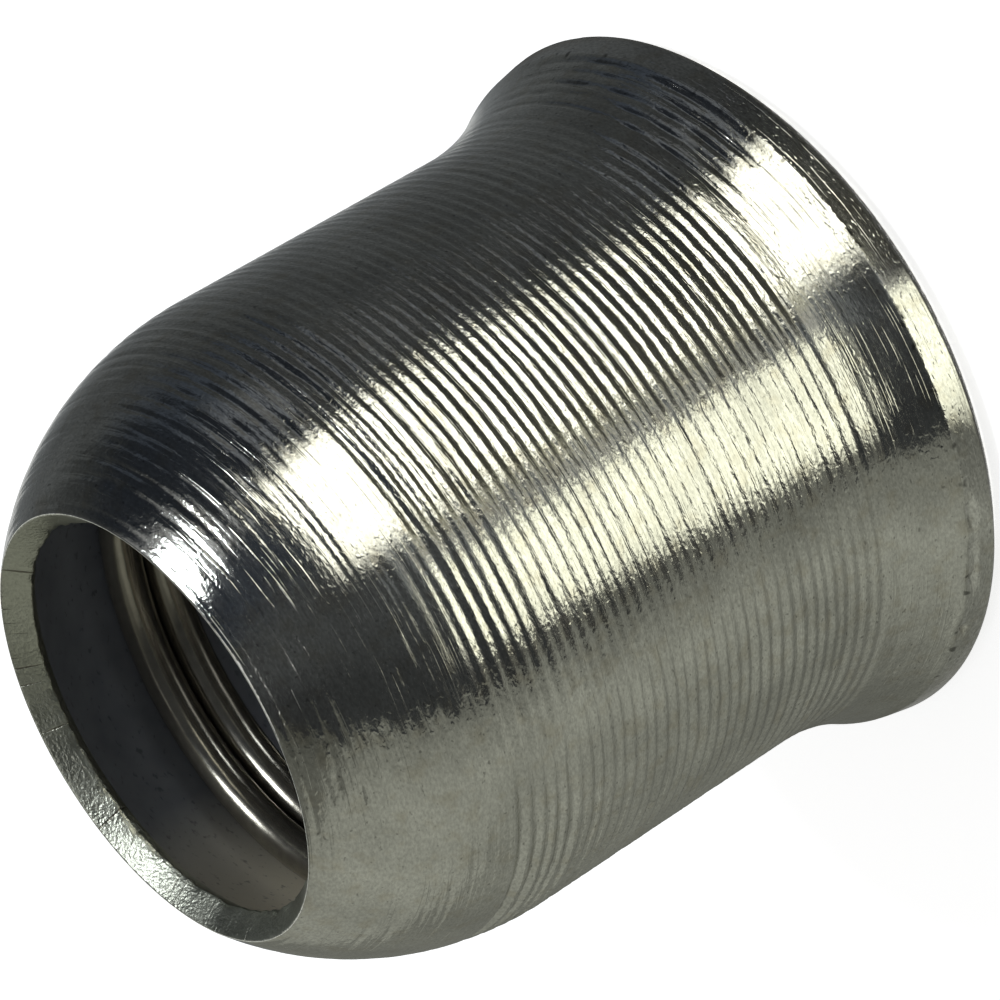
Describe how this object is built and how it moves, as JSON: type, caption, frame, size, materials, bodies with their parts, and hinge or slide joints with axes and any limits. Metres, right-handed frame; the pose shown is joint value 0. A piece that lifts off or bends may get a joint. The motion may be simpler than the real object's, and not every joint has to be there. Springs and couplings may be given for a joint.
{
  "type": "grease nipple",
  "caption": "Drive-in ball-check grease nipple: plain shank, flared collar at the head, and a nose rolled in over the spring.",
  "frame": {"origin": "centre of the flat head face, in the plane the nipple stands on", "axes": "+Z along the nipple's axis, from the head face to the rolled nose"},
  "size_m": [0.009, 0.009, 0.009],
  "materials": {
    "plated_steel": "bright nickel-like plating over fine turning marks",
    "ball_steel": "polished hardened ball",
    "spring_steel": "drawn spring wire, lightly oiled"
  },
  "bodies": {
    "body": {"sleeve": "plated_steel", "spring": "spring_steel"},
    "ball": {"check_ball": "ball_steel"}
  },
  "joints": [
    {"name": "ball_travel", "type": "slide", "parent": "body", "child": "ball", "axis": [0, 0, 1], "range_m": [0, 0.00075], "stiffness_N_per_m": 1000, "deforming": ["spring"]}
  ]
}
